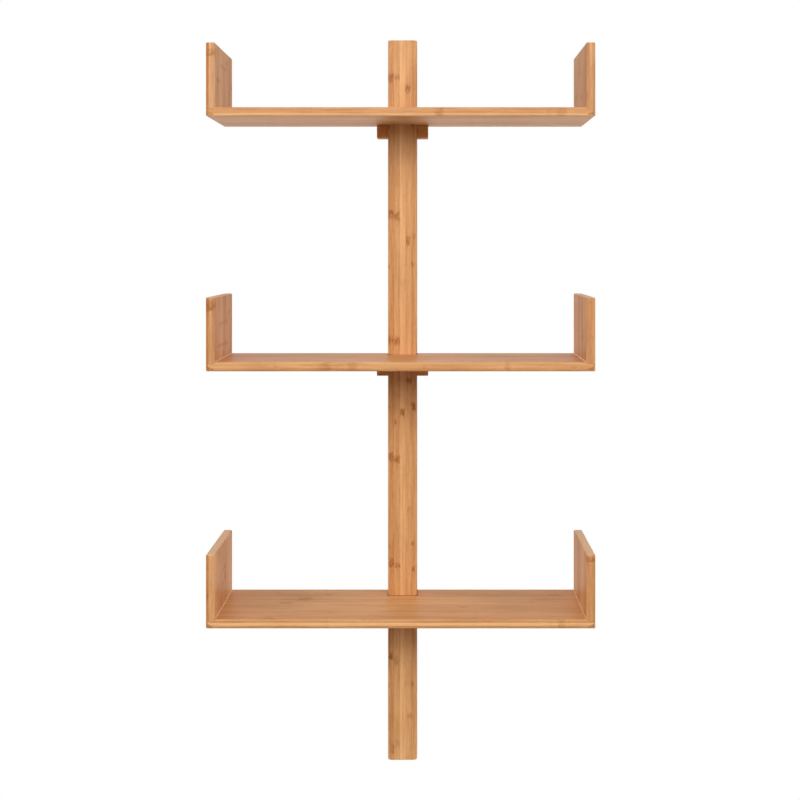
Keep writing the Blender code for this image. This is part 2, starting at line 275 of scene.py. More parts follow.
def makeKnucklePlace():
    # hands on the height above one chosen knuckle, in half heights, and its strength, where it is near
    values = knuckleValues
    inputs = (("Vector", "Vector", None), ("Up", "Float", values["nowhere"]), ("Strength", "Float", 0.0),
              ("Along", "Float", 0.0), ("Across", "Float", 0.0), ("Half Width", "Float", 5 * mm),
              ("Half Height", "Float", 7 * mm), ("Own Strength", "Float", 1.0))
    tree, given, out = newGroup("bambooKnucklePlace", inputs, (("Up", "Float"), ("Strength", "Float")))
    axes = split(tree, given["Vector"])
    up = calc(tree, "DIVIDE", calc(tree, "SUBTRACT", axes[0], given["Along"]), given["Half Height"])
    across = calc(tree, "ABSOLUTE", calc(tree, "SUBTRACT", axes[1], given["Across"]))
    across = calc(tree, "DIVIDE", across, given["Half Width"])
    near = calc(tree, "MULTIPLY", calc(tree, "LESS_THAN", calc(tree, "ABSOLUTE", up), values["reach"]),
                calc(tree, "LESS_THAN", across, values["sideEdge"][1]))
    strength = ramp(tree, across, *values["sideEdge"], 1.0, 0.0)
    strength = calc(tree, "MULTIPLY", strength, given["Own Strength"])
    for name, own in (("Up", up), ("Strength", strength)):
        pick = addNode(tree, "ShaderNodeMix", (near, None, given[name], own), data_type="FLOAT")
        tree.links.new(pick.outputs[0], out[name])
    return tree


# Layup: strips glued into plies, where three or four neighbours come from one cane
layupValues = {
    "stripWidth": 5.6 * mm,
    "plyThickness": 4.7 * mm,
    "wanderScale": (5, 40, 40),
    "wander": 0.5,  # of the strips' edges along their length, in strip widths
    "stagger": 0.37,  # from ply to ply
    "stripsPerCane": 3.5,
    "otherSeed": 31.7,  # sets the canes' random numbers apart from the strips'
    "seamEdge": (0.455, 0.5),  # from a strip's or ply's middle, in widths
    "knuckleSpacing": 230 * mm,
    "knuckleHalfHeight": 4.0 * mm,
    "knuckleShift": 5.0,  # between canes, in spacings
    "knuckleJitter": 0.04,  # between the strips of a cane
    "knuckleStreaks": (60, 1100, 1100),
    "knuckleEdge": (0.45, 0.95),  # a strip's draw, from no knuckles to the strongest
    "knuckleStrength": 0.7,
    "knuckleSide": (0.35, 0.5),  # towards the strip's edge they fade
    "knuckleAtEdge": 0.1,
}


def makeLayup():
    values = layupValues
    inputs = (("Vector", "Vector", None), ("Strip Width", "Float", values["stripWidth"]),
              ("Ply Thickness", "Float", values["plyThickness"]), ("Seed", "Float", 0.0))
    outputs = [(name, "Float") for name in ("Strip Tone", "Lamella Tone", "Ply", "Seam", "Knuckle")]
    tree, given, out = newGroup("bambooLayup", inputs, outputs)
    axes = split(tree, given["Vector"])
    throughPlies = calc(tree, "ADD", calc(tree, "DIVIDE", axes[2], given["Ply Thickness"]), 0.5)
    ply = calc(tree, "FLOOR", throughPlies)
    tree.links.new(ply, out["Ply"])

    # strips wander a little along their length, and each ply starts them elsewhere
    wander = noise(tree, stretch(tree, given["Vector"], values["wanderScale"]))
    wander = calc(tree, "MULTIPLY", wander, values["wander"])
    stagger = calc(tree, "MULTIPLY", ply, values["stagger"])
    across = calc(tree, "DIVIDE", axes[1], given["Strip Width"])
    across = calc(tree, "ADD", calc(tree, "ADD", across, wander), stagger)
    strip = calc(tree, "FLOOR", across)
    draw = draws(tree, join(tree, strip, ply, given["Seed"]))
    tree.links.new(draw["Value"], out["Strip Tone"])

    # the strips of one cane make a lamella
    lamella = calc(tree, "FLOOR", calc(tree, "DIVIDE", strip, values["stripsPerCane"]))
    lamellaSeed = calc(tree, "ADD", given["Seed"], values["otherSeed"])
    lamellaDraw = draws(tree, join(tree, lamella, ply, lamellaSeed))
    tree.links.new(lamellaDraw["Value"], out["Lamella Tone"])

    # the glue line at each strip's edge, and between two plies
    fromMiddle = calc(tree, "ABSOLUTE", calc(tree, "SUBTRACT", calc(tree, "FRACT", across), 0.5))
    stripSeam = ramp(tree, fromMiddle, *values["seamEdge"])
    fromPly = calc(tree, "ABSOLUTE", calc(tree, "SUBTRACT", calc(tree, "FRACT", throughPlies), 0.5))
    tree.links.new(calc(tree, "MAXIMUM", stripSeam, ramp(tree, fromPly, *values["seamEdge"])), out["Seam"])

    # knuckles stand at nearly the same height in the strips of one cane
    jitter = split(tree, draw["Color"])
    along = calc(tree, "DIVIDE", axes[0], values["knuckleSpacing"])
    along = calc(tree, "MULTIPLY_ADD", lamellaDraw["Value"], values["knuckleShift"], along)
    along = calc(tree, "MULTIPLY_ADD", jitter[0], values["knuckleJitter"], along)
    halfHeights = values["knuckleSpacing"] / values["knuckleHalfHeight"]
    up = calc(tree, "MULTIPLY", calc(tree, "SUBTRACT", calc(tree, "FRACT", along), 0.5), halfHeights)
    streaks = noise(tree, stretch(tree, given["Vector"], values["knuckleStreaks"]), detail=3.0)
    mark = useGroup(tree, knuckle, Vector=given["Vector"], Up=up, Streaks=streaks)["Mark"]
    strength = ramp(tree, jitter[1], *values["knuckleEdge"], 0.0, values["knuckleStrength"])
    inStrip = ramp(tree, fromMiddle, *values["knuckleSide"], 1.0, values["knuckleAtEdge"])
    tree.links.new(calc(tree, "MULTIPLY", calc(tree, "MULTIPLY", mark, strength), inStrip), out["Knuckle"])
    return tree


# Fibres: fine ones, broader streaks, short flecks and slow mottling, each a noise of a scale and a detail
fibreValues = {
    "Fibre": ((22, 1900, 1900), 2.0),
    "Streak": ((16, 380, 380), 3.0),
    "Fleck": ((130, 700, 700), 2.0),
    "Mottle": ((8, 26, 26), 2.0),
}


def makeFibres():
    inputs = (("Vector", "Vector", None), ("Seed", "Float", 0.0))
    tree, given, out = newGroup("bambooFibres", inputs, [(name, "Float") for name in fibreValues])
    moved = vectorCalc(tree, "ADD", given["Vector"], join(tree, *[given["Seed"]] * 3))
    for name, (scale, detail) in fibreValues.items():
        tree.links.new(noise(tree, stretch(tree, moved, scale), detail), out[name])
    return tree


# Frayed outlines of the chosen knuckles: how far they stray along and across the grain
frayedValues = {
    "raggedScale": (60, 450, 0),
    "ragged": 14 * mm,
    "frayedScale": (260, 60, 0),
    "frayed": 5 * mm,
}


def makeFrayed():
    values = frayedValues
    tree, given, out = newGroup("bambooFrayed", (("Vector", "Vector", None),), (("Vector", "Vector"),))
    ragged = noise(tree, stretch(tree, given["Vector"], values["raggedScale"]), detail=3.0)
    frayed = noise(tree, stretch(tree, given["Vector"], values["frayedScale"]))
    shift = join(tree, calc(tree, "MULTIPLY_ADD", ragged, values["ragged"], -values["ragged"] / 2),
                 calc(tree, "MULTIPLY_ADD", frayed, values["frayed"], -values["frayed"] / 2), None)
    tree.links.new(vectorCalc(tree, "ADD", given["Vector"], shift), out["Vector"])
    return tree


# End grain: dark dots of cut fibres, on faces that the grain runs out of
endGrainValues = {
    "faceEdge": (0.6, 0.85),  # how squarely the grain meets the face
    "dotScale": (0, 1500, 1100),
    "dotEdge": (0.12, 0.34),
}


def makeEndGrain():
    values = endGrainValues
    inputs = (("Vector", "Vector", None), ("Normal", "Vector", None))
    tree, given, out = newGroup("bambooEndGrain", inputs, (("Face", "Float"), ("Dots", "Float")))
    facing = calc(tree, "ABSOLUTE", split(tree, given["Normal"])[0])
    tree.links.new(ramp(tree, facing, *values["faceEdge"]), out["Face"])
    scaled = stretch(tree, given["Vector"], values["dotScale"])
    cells = addNode(tree, "ShaderNodeTexVoronoi", (scaled, None, 1.0))
    tree.links.new(ramp(tree, cells.outputs["Distance"], *values["dotEdge"], 1.0, 0.0), out["Dots"])
    return tree


# Edges painted lighter: partly worn lacquer, partly painted highlight along the rounded edges
arrisValues = {
    "width": 1.6 * mm,
    "edge": (0.2, 1.0),  # in widths
}


def makeArris():
    # 1 along the edges of a box of the given middle and half size, 0 on its flats
    inputs = (("Vector", "Vector", None), ("Middle", "Vector", (0, 0, 0)), ("Half Size", "Vector", (1, 1, 1)),
              ("Width", "Float", arrisValues["width"]))
    tree, given, out = newGroup("arris", inputs, (("Edge", "Float"),))
    fromMiddle = vectorCalc(tree, "ABSOLUTE", vectorCalc(tree, "SUBTRACT", given["Vector"], given["Middle"]))
    x, y, z = split(tree, vectorCalc(tree, "SUBTRACT", given["Half Size"], fromMiddle))
    larger = calc(tree, "MINIMUM", calc(tree, "MAXIMUM", x, y), z)
    secondDepth = calc(tree, "MAXIMUM", calc(tree, "MINIMUM", x, y), larger)
    widths = calc(tree, "DIVIDE", secondDepth, given["Width"])
    tree.links.new(ramp(tree, widths, *arrisValues["edge"], 1.0, 0.0), out["Edge"])
    return tree


knuckle = makeKnuckle()
layup = makeLayup()
fibres = makeFibres()
frayed = makeFrayed()
knucklePlace = makeKnucklePlace()
endGrain = makeEndGrain()
arris = makeArris()
print("shader groups built")

# Bamboo, in linear colours
bambooValues = {
    "dark": (0.523, 0.196, 0.057, 1),
    "light": (0.937, 0.510, 0.229, 1),
    "middle": 0.47,  # where a plain strip lies between the two
    "stripPull": 0.22,  # how far a strip's tone moves from the middle
    "lamellaPull": 0.30,
    "streakPull": 0.85,
    "fleckPull": 0.40,
    "fibrePull": 0.50,
    "mottlePull": 0.65,
    "contrast": {"post": 1.0, "board": 0.8, "side": 1.0, "cleat": 1.0},  # of all but the mottling
    "seam": (0.420, 0.160, 0.050, 1),
    "seamDepth": 0.14,
    "knuckleStain": (0.52, 0.31, 0.14, 1),
    "knuckleStreaks": (45, 800, 0),  # the chosen knuckles' own scale and core
    "knuckleCore": 0.38,
    "scattered": {"post": 1.0, "board": 0.35, "side": 1.0, "cleat": 1.0},  # of knuckles left to chance
    # the edges' lightening is partly worn lacquer, partly painted highlight along the rounded edges
    "wornAndHighlight": 0.2,  # how much lighter the edges are
    "endGrain": (0.850, 0.560, 0.340, 1),
    "endGrainDepth": 0.75,
    "endDots": (0.400, 0.170, 0.060, 1),
    "endDotDepth": 0.25,
    "glueEdge": 0.1 * mm,  # of the glue-soaked tongue
    "specular": {"post": 0.20, "board": 0.16, "side": 0.06, "cleat": 0.05},
    "roughness": 0.46,
    "fibreDull": 0.14,
    "openDull": 0.12,  # over knuckles and end grain
    "bump": 0.25,
    "bumpDistance": 0.12 * mm,
    "streakHeight": 0.6,
    "fibreHeight": 0.5,
    "seamSink": 0.5,
    "knuckleSink": 0.3,
    "dotSink": 0.6,
}


def tongueSoak(tree, wood, tongue):
    # the tongue in the joint is soaked with glue: up to a height, and from a distance inwards
    top, start, inwards = tongue
    blur = bambooValues["glueEdge"]
    along, _, through = split(tree, wood)
    inside = ramp(tree, calc(tree, "MULTIPLY", through, inwards), start, start + blur)
    return calc(tree, "MULTIPLY", ramp(tree, along, top - blur, top, 1.0, 0.0), inside)


def woodTone(tree, kind, wood, laid, grains, tone, strips, plies):
    # how light the wood is, from 0 for the dark colour to 1 for the light one
    values = bambooValues
    contrast = values["contrast"][kind]
    level = values["middle"] + tone
    pulls = [(laid["Strip Tone"], values["stripPull"] * contrast)]
    if not strips:
        pulls.append((laid["Lamella Tone"], values["lamellaPull"] * contrast))
    pulls += [(grains["Streak"], values["streakPull"] * contrast),
              (grains["Fibre"], values["fibrePull"] * contrast),
              (grains["Fleck"], values["fleckPull"] * contrast),
              (grains["Mottle"], values["mottlePull"])]
    for socket, pull in pulls:
        level = calc(tree, "ADD", level, calc(tree, "MULTIPLY_ADD", socket, pull, -pull / 2))
    if strips:
        # lamellae in chosen places, instead of those left to chance
        stops = [(start * mm, number) for start, number in strips]
        level = calc(tree, "ADD", level, steps(tree, split(tree, wood)[1], stops))
    if any(plies):
        # one tone for the lowest ply, the middle ones and the highest
        low, core, high = plies
        curve = calc(tree, "MULTIPLY_ADD", laid["Ply"], (high + low) / 2 - core, (high - low) / 2)
        level = calc(tree, "ADD", level, calc(tree, "MULTIPLY_ADD", laid["Ply"], curve, core))
    return level


def knuckleMarks(tree, kind, wood, scattered, knuckles):
    # how deeply knuckles stain the wood: those left to chance, and the chosen ones
    values = bambooValues
    share = values["scattered"][kind]
    marks = calc(tree, "MULTIPLY", scattered, share) if share < 1 else scattered
    if knuckles:
        outline = useGroup(tree, frayed, Vector=wood)["Vector"]
        nearest = {"Up": knuckleValues["nowhere"], "Strength": 0.0}
        for along, across, halfWidth, halfHeight, strength in knuckles:
            nearest = useGroup(tree, knucklePlace, Vector=outline, Up=nearest["Up"],
                               Strength=nearest["Strength"], Along=along * mm, Across=across * mm,
                               Half_Width=halfWidth * mm, Half_Height=halfHeight * mm, Own_Strength=strength)
        streaks = noise(tree, stretch(tree, wood, values["knuckleStreaks"]))
        shape = useGroup(tree, knuckle, Vector=wood, Up=nearest["Up"], Streaks=streaks,
                         Core_Depth=values["knuckleCore"])
        marks = calc(tree, "MAXIMUM", marks, calc(tree, "MULTIPLY", shape["Mark"], nearest["Strength"]))
    return marks


def makeBamboo(name, kind, grain, middle, plyThickness, seed, tone=0.0, plies=(0, 0, 0), strips=(),
               tint=(1, 1, 1, 1), arrisBox=None, knuckles=(), tongue=None, tongueTone=0.0):
    values = bambooValues
    material, tree, shader = newMaterial(name)
    coordinates = addNode(tree, "ShaderNodeTexCoord").outputs
    place = coordinates["Object"]

    # grain names the axes along the grain, across the strips and through the plies
    def grained(vector):
        axes = split(tree, vector)
        return join(tree, *[axes["XYZ".index(letter)] for letter in grain])

    wood = grained(vectorCalc(tree, "SUBTRACT", place, tuple(middle)))
    laid = useGroup(tree, layup, Vector=wood, Ply_Thickness=plyThickness, Seed=seed)
    grains = useGroup(tree, fibres, Vector=wood, Seed=seed)
    level = woodTone(tree, kind, wood, laid, grains, tone, strips, plies)
    if tongue:
        level = calc(tree, "MULTIPLY_ADD", tongueSoak(tree, wood, tongue), tongueTone, level)
    level = calc(tree, "ADD", level, 0.0, clamp=True)
    colour = blendColour(tree, level, values["dark"], values["light"])
    seams = calc(tree, "MULTIPLY", laid["Seam"], values["seamDepth"])
    colour = blendColour(tree, seams, colour, values["seam"])
    marks = knuckleMarks(tree, kind, wood, laid["Knuckle"], knuckles)
    colour = blendColour(tree, marks, colour, values["knuckleStain"], "MULTIPLY")
    if arrisBox:
        low, high = arrisBox
        edge = useGroup(tree, arris, Vector=place, Middle=tuple((low + high) / 2),
                        Half_Size=tuple((high - low) / 2))["Edge"]
        # painted highlight along the rounded edges, partly worn lacquer: the edges are blended towards the
        # light colour
        wornAndHighlight = calc(tree, "MULTIPLY", edge, values["wornAndHighlight"])
        colour = blendColour(tree, wornAndHighlight, colour, values["light"])
    ends = useGroup(tree, endGrain, Vector=wood, Normal=grained(coordinates["Normal"]))
    pale = calc(tree, "MULTIPLY", ends["Face"], values["endGrainDepth"])
    colour = blendColour(tree, pale, colour, values["endGrain"])
    dots = calc(tree, "MULTIPLY", ends["Face"], ends["Dots"])
    colour = blendColour(tree, calc(tree, "MULTIPLY", dots, values["endDotDepth"]), colour, values["endDots"])
    colour = blendColour(tree, 1.0, colour, tint, "MULTIPLY")
    tree.links.new(colour, shader.inputs["Base Color"])

    # the lacquer is duller over open fibres, knuckles and end grain
    fibreDull = values["fibreDull"]
    dull = calc(tree, "MULTIPLY_ADD", grains["Fibre"], fibreDull, values["roughness"] - fibreDull / 2)
    dull = calc(tree, "MULTIPLY_ADD", calc(tree, "MAXIMUM", marks, ends["Face"]), values["openDull"], dull)
    tree.links.new(dull, shader.inputs["Roughness"])
    shader.inputs["Specular IOR Level"].default_value = values["specular"][kind]
    height = calc(tree, "MULTIPLY", grains["Fibre"], values["fibreHeight"])
    height = calc(tree, "MULTIPLY_ADD", grains["Streak"], values["streakHeight"], height)
    for socket, sink in ((laid["Seam"], "seamSink"), (marks, "knuckleSink"), (dots, "dotSink")):
        height = calc(tree, "SUBTRACT", height, calc(tree, "MULTIPLY", socket, values[sink]))
    addBump(tree, shader, height, values["bump"], values["bumpDistance"])
    return material


# Zinc-plated steel of the plates and screws

steelValues = {
    "colour": (0.60, 0.60, 0.58, 1),
    "dullColour": (0.46, 0.46, 0.45, 1),
    "cloudScale": (240, 240, 240),
    "cloudEdge": (0.35, 0.65),
    "plateBrush": (2600, 200, 60),  # scales of the scratches
    "screwBrush": (900, 900, 900),
    "roughness": 0.30,
    "cloudDull": 0.16,
    "scratchDull": 0.10,
    "scratchBump": 0.3,
    "scratchDistance": 0.02 * mm,
}


def makeSteel(name, brush):
    values = steelValues
    material, tree, shader = newMaterial(name)
    place = addNode(tree, "ShaderNodeTexCoord").outputs["Object"]
    scratches = noise(tree, stretch(tree, place, brush), detail=3.0)
    clouds = noise(tree, stretch(tree, place, values["cloudScale"]), detail=3.0)
    cloudy = ramp(tree, clouds, *values["cloudEdge"])
    colour = blendColour(tree, cloudy, values["dullColour"], values["colour"])
    tree.links.new(colour, shader.inputs["Base Color"])
    cloudDull = values["cloudDull"]
    dull = calc(tree, "MULTIPLY_ADD", clouds, cloudDull, values["roughness"] - cloudDull / 2)
    dull = calc(tree, "MULTIPLY_ADD", scratches, values["scratchDull"], dull)
    tree.links.new(dull, shader.inputs["Roughness"])
    shader.inputs["Metallic"].default_value = 1.0
    addBump(tree, shader, scratches, values["scratchBump"], values["scratchDistance"])
    return material


# Dressing: each solid is replaced by a merged copy of itself with smooth round edges

dressValues = {
    "mergeDistance": 0.01 * mm,
    "flatAngle": math.radians(0.3),
    "smoothAngle": math.radians(40),
    "normalWeight": 80,
    "plateEdge": 0.20 * mm,  # the plates' sharp edges are broken
    "plateEdgeAngle": math.radians(50),
}


def middleOf(node):
    low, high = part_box(node)
    return (low + high) / 2


def dressedCopy(node, edge=0.0):
    values = dressValues
    piece = bpy.data.objects.new("dressed", bpy.data.objects[node].data.copy())
    bpy.context.scene.collection.objects.link(piece)
    editAll(piece)
    bpy.ops.mesh.remove_doubles(threshold=values["mergeDistance"])
    bpy.ops.mesh.dissolve_limited(angle_limit=values["flatAngle"])
    bpy.ops.object.mode_set(mode="OBJECT")
    bpy.ops.mesh.customdata_custom_splitnormals_clear()
    if edge:
        applyModifier(piece, "BEVEL", width=edge, segments=2, limit_method="ANGLE",
                      angle_limit=values["plateEdgeAngle"])
    selectOnly(piece)
    bpy.ops.object.shade_smooth_by_angle(angle=values["smoothAngle"])
    applyModifier(piece, "WEIGHTED_NORMAL", keep_sharp=True, weight=values["normalWeight"])
    return piece


def dress(node, material, edge=0.0):
    piece = dressedCopy(node, edge)
    finishPiece(piece, f"{node}_dressed", material)
    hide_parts(node)


# Post

postValues = {
    "plyThickness": 16.7 * mm,
    "seed": 3.0,
    "tint": (0.99, 1.02, 1.015, 1),
    # lamellae across the front, in mm from its middle: where each starts, and its tone
    "strips": ((-26, 0.02), (-22.3, -0.20), (-13.9, 0.05), (-7.4, -0.08), (-4.2, 0.30), (-0.6, 0.22),
               (4.6, 0.05), (14.2, -0.10), (20.2, -0.04)),
    # knuckles seen on its front, in mm: up from its middle, across, half width, half height, strength
    "knuckles": (
        (530, -19, 5, 8, 0.8), (532, -9, 5, 5, 0.6), (512, 9, 4.5, 7, 0.8), (306, -19, 5, 8, 0.9),
        (302, -9, 5, 7, 0.9), (263, 9, 3.6, 7, 0.9), (269, 19, 2.5, 6, 0.5), (193, 1, 5, 5, 0.25),
        (99, -19, 5, 8, 0.8), (97, -9, 5, 7, 0.8), (32, 11, 4.5, 6, 0.8), (-12, 19, 3.2, 7, 1.0),
        (-20, 0, 4.2, 7, 0.95), (-36, -12, 1.4, 3, 0.9), (-94, -18, 5, 8, 0.9), (-96, -9, 5, 7, 0.9),
        (-179, 10, 4, 6, 0.3), (-267, -18, 5, 8, 0.8), (-272, -8, 5, 5, 0.75), (-278, 18, 3, 5, 0.8),
        (-421, -19, 4.5, 7, 0.9), (-428, -11, 4, 9, 0.4), (-519, 12, 5, 5, 0.4), (-565, -8, 3.6, 7, 0.4),
        (-573, -16, 3, 9, 0.7),
    ),
}


def dressPost():
    values = postValues
    material = makeBamboo("postBamboo", "post", "ZXY", (0, 0, 0), values["plyThickness"], values["seed"],
                          strips=values["strips"], tint=values["tint"], knuckles=values["knuckles"])
    dress("post", material)


# Trays: board and two side panels

trayValues = {
    "boardSeed": {"bottom": 11.0, "middle": 23.0, "top": 37.0},
    "boardPlies": {"bottom": (-0.22, 0.26, 0.0), "middle": (-0.10, 0.16, -0.05), "top": (0.20, -0.08, 0.0)},
    "boardTint": (1.0, 1.03, 1.05, 1),
    # knuckles seen on the boards, in mm: along from the middle, across from the front, -75, to the back, 75,
    # half width, half length, strength
    "boardKnuckles": {
        "bottom": ((-187, 4, 5, 12, 0.45), (-159, 25, 9, 13, 0.4), (-121, 47, 4, 8, 0.45),
                   (-204, -67, 4, 9, 0.4), (250, 44, 5, 9, 0.4), (98, -16, 5, 10, 0.25),
                   (247, -75, 2, 6, 0.35)),
        "middle": ((-115, -75, 2.5, 8, 0.35), (-75, -75, 4, 7, 0.3), (165, -75, 3, 6, 0.3)),
        "top": ((61, -75, 4, 7, 0.45), (247, -75, 3, 10, 0.3), (-205, -30, 6, 9, 0.3)),
    },
    "sideSeed": {"bottom": 41.0, "middle": 53.0, "top": 67.0},
    "sideTone": {"bottom": 0.02, "middle": -0.06, "top": -0.02},
    "sideTint": {"bottom": (1.0, 1.03, 1.10, 1), "middle": (0.99, 1.04, 1.17, 1),
                 "top": (0.98, 1.06, 1.25, 1)},
    "sidePlies": {"left": (-0.36, -0.03, -0.06), "right": (-0.10, 0.04, -0.22)},
    # knuckles seen on the side panels, as in the boards' list, but up instead of along
    "sideKnuckles": {
        "top_left": ((42, -75, 6, 6, 0.6), (28, -5, 30, 3, 0.35), (2, -45, 15, 3, 0.45)),
        "middle_left": ((46, -75, 7, 10, 0.7), (13, -5, 40, 2.5, 0.35), (-21, -9, 45, 3, 0.45)),
        "bottom_left": ((-2, 10, 9, 9, 0.35), (-10, -47, 7, 10, 0.3)),
        "top_right": ((-14, 40, 14, 4, 0.3), (-20, -20, 14, 4, 0.3)),
        "middle_right": ((-8, -30, 16, 5, 0.35),),
        "bottom_right": ((50, -75, 5, 5, 0.6),),
    },
    "tongueTop": 7.4 * mm,  # of the side panel's tongue in the joint
    "tongueStart": 2.5 * mm,
    "tongueTone": -0.30,
}


def dressBoard(level):
    values = trayValues
    node = f"board_{level}"
    low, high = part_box(node)
    reach = Vector((1, 0, 0))  # the board's ends are in the joints, so they have no edge
    material = makeBamboo(f"boardBamboo{level.title()}", "board", "XYZ", middleOf(node),
                          layupValues["plyThickness"], values["boardSeed"][level],
                          plies=values["boardPlies"][level], tint=values["boardTint"],
                          arrisBox=(low - reach, high + reach), knuckles=values["boardKnuckles"][level])
    dress(node, material)


def dressSide(level, side):
    values = trayValues
    node = f"side_{level}_{side}"
    low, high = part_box(node)
    reach = Vector((0, 0, 1))  # the panel's foot is in the joint, so it has no edge
    halfSize = (high - low) / 2
    tongue = (values["tongueTop"] - halfSize.z, values["tongueStart"] - halfSize.x, -sides[side])
    material = makeBamboo(f"sideBamboo{level.title()}{side.title()}", "side", "ZYX", middleOf(node),
                          layupValues["plyThickness"], values["sideSeed"][level] + sides[side],
                          tone=values["sideTone"][level], plies=values["sidePlies"][side],
                          tint=values["sideTint"][level], arrisBox=(low - reach, high),
                          knuckles=values["sideKnuckles"][f"{level}_{side}"], tongue=tongue,
                          tongueTone=values["tongueTone"])
    dress(node, material)


# Cleats, whose bamboo is darker and redder: partly its own tone, partly painted shade of their place under
# the trays

cleatValues = {
    "plyThickness": 9.0 * mm,
    "seed": {"bottom": 71.0, "middle": 83.0, "top": 97.0},
    # darker and redder than the other bamboo: partly painted shade, as the cleats sit in the trays' shadow
    "tone": -0.08,
    "tint": (1.0, 0.89, 0.66, 1),
}


def dressCleat(level):
    values = cleatValues
    node = f"cleat_{level}"
    material = makeBamboo(f"cleatShadedBamboo{level.title()}", "cleat", "XYZ", middleOf(node),
                          values["plyThickness"], values["seed"][level], values["tone"], tint=values["tint"])
    dress(node, material)


# Glue: a dark film in each lock mitre and the pale bead that set along its inner corner. A dark bead round
# the post's foot on each tray is painted shade where the post meets the board

glueAndShadeValues = {
    "filmThickness": 0.24 * mm,
    "filmInset": 0.5 * mm,  # it lies this far behind the joint's ends
    # the joint's line, in mm inwards and up from the tray's outer bottom corner
    "path": ((1.4, 1.4), (2.4, 2.4), (11.4, 2.4), (11.4, 3.4), (2.6, 7.3), (2.6, 12.2), (12.2, 12.2),
             (13.2, 13.2)),
    "beadLeg": 0.9 * mm,
    "beadInset": 2.2 * mm,  # it stops where the rounded edges start
    "beadHollow": 0.96,  # share of a leg that the hollow takes
    "beadProfile": 0.16,
    "footWidth": 0.8 * mm,  # beyond the post
    "footHeight": 0.4 * mm,
    "footInset": 1.0 * mm,  # from the wall
    "footEdge": 0.15 * mm,
    "smoothAngle": math.radians(35),
    "footAngle": math.radians(50),
    # dark and light colour, roughness, specular level
    "filmLook": ((0.100, 0.036, 0.012, 1), (0.160, 0.060, 0.020, 1), 0.28, 0.5),
    "beadLook": ((0.660, 0.370, 0.165, 1), (0.800, 0.490, 0.240, 1), 0.28, 0.5),
    # the foot's dark colour is painted shade where the post stands in the board
    "footShadeLook": ((0.260, 0.085, 0.022, 1), (0.340, 0.125, 0.034, 1), 0.55, 0.1),
    "runScale": (700, 60, 700),
    "runEdge": (0.3, 0.7),
    "runDull": 0.2,
    "runBump": 0.3,
    "runDistance": 0.1 * mm,
}


def makeGlueAndShade(name, dark, light, roughness, specular):
    values = glueAndShadeValues
    material, tree, shader = newMaterial(name)
    place = addNode(tree, "ShaderNodeTexCoord").outputs["Object"]
    runs = noise(tree, stretch(tree, place, values["runScale"]), detail=3.0)
    colour = blendColour(tree, ramp(tree, runs, *values["runEdge"]), dark, light)
    tree.links.new(colour, shader.inputs["Base Color"])
    tree.links.new(calc(tree, "MULTIPLY_ADD", runs, values["runDull"], roughness), shader.inputs["Roughness"])
    shader.inputs["Specular IOR Level"].default_value = specular
    addBump(tree, shader, runs, values["runBump"], values["runDistance"])
    return material


def modelFilm(outer, bottom, front, back):
    # an edge along the joint, extruded along the joint's line into a sheet
    values = glueAndShadeValues
    path = [Vector((outer + inwards * mm, 0, bottom + up * mm)) for inwards, up in values["path"]]
    length = back - front - 2 * values["filmInset"]
    middle = path[0] + Vector((length / 2, (front + back) / 2, 0))
    bpy.ops.object.select_all(action="DESELECT")
    bpy.ops.mesh.primitive_plane_add(size=length, location=middle)
    film = bpy.context.object
    editVertices(film, lambda place: place.x > 0)
    bpy.ops.mesh.delete(type="VERT")
    bpy.ops.mesh.select_all(action="SELECT")
    for start, end in zip(path, path[1:]):
        bpy.ops.mesh.extrude_region_move(TRANSFORM_OT_translate={"value": end - start})
    bpy.ops.object.mode_set(mode="OBJECT")
    settle(film)
    applyModifier(film, "SOLIDIFY", thickness=values["filmThickness"], offset=0.0, use_even_offset=True)
    editAll(film)
    bpy.ops.mesh.normals_make_consistent(inside=False)
    bpy.ops.object.mode_set(mode="OBJECT")
    return film


def modelBead(inner, top, front, back):
    # a thin bar in the corner, with its free edge hollowed by a bevel
    values = glueAndShadeValues
    leg = values["beadLeg"]
    length = back - front - 2 * values["beadInset"]
    bpy.ops.object.select_all(action="DESELECT")
    bpy.ops.mesh.primitive_cube_add(size=1, location=(inner + leg / 2, (front + back) / 2, top + leg / 2),
                                    scale=(leg, length, leg))
    bead = bpy.context.object
    settle(bead)
    editVertices(bead, lambda place: place.x > inner + leg / 2 and place.z > top + leg / 2)
    bpy.ops.mesh.select_mode(type="EDGE")
    bpy.ops.mesh.bevel(offset=leg * values["beadHollow"], segments=5, profile=values["beadProfile"],
                       affect="EDGES")
    bpy.ops.mesh.select_mode(type="VERT")
    bpy.ops.object.mode_set(mode="OBJECT")
    bpy.ops.object.shade_smooth_by_angle(angle=values["smoothAngle"])
    return bead


def modelFootShade(top):
    # a thin dark bar laid through the post's place, with the post cut out of it: painted shade round the
    # post's foot
    values = glueAndShadeValues
    low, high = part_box("post")
    wide = high.x - low.x + 2 * values["footWidth"]
    front = low.y - values["footWidth"]
    deep = -values["footInset"] - front
    tall = values["footHeight"]
    bpy.ops.object.select_all(action="DESELECT")
    bpy.ops.mesh.primitive_cube_add(size=1, location=(0, front + deep / 2, top + tall / 2),
                                    scale=(wide, deep, tall))
    bead = bpy.context.object
    settle(bead)
    cutter = dressedCopy("post")
    applyModifier(bead, "BOOLEAN", object=cutter, operation="DIFFERENCE", solver="EXACT")
    bpy.data.objects.remove(cutter)
    applyModifier(bead, "BEVEL", width=values["footEdge"], segments=2, limit_method="ANGLE",
                  angle_limit=values["footAngle"])
    selectOnly(bead)
    bpy.ops.object.shade_smooth_by_angle(angle=values["footAngle"])
    return bead


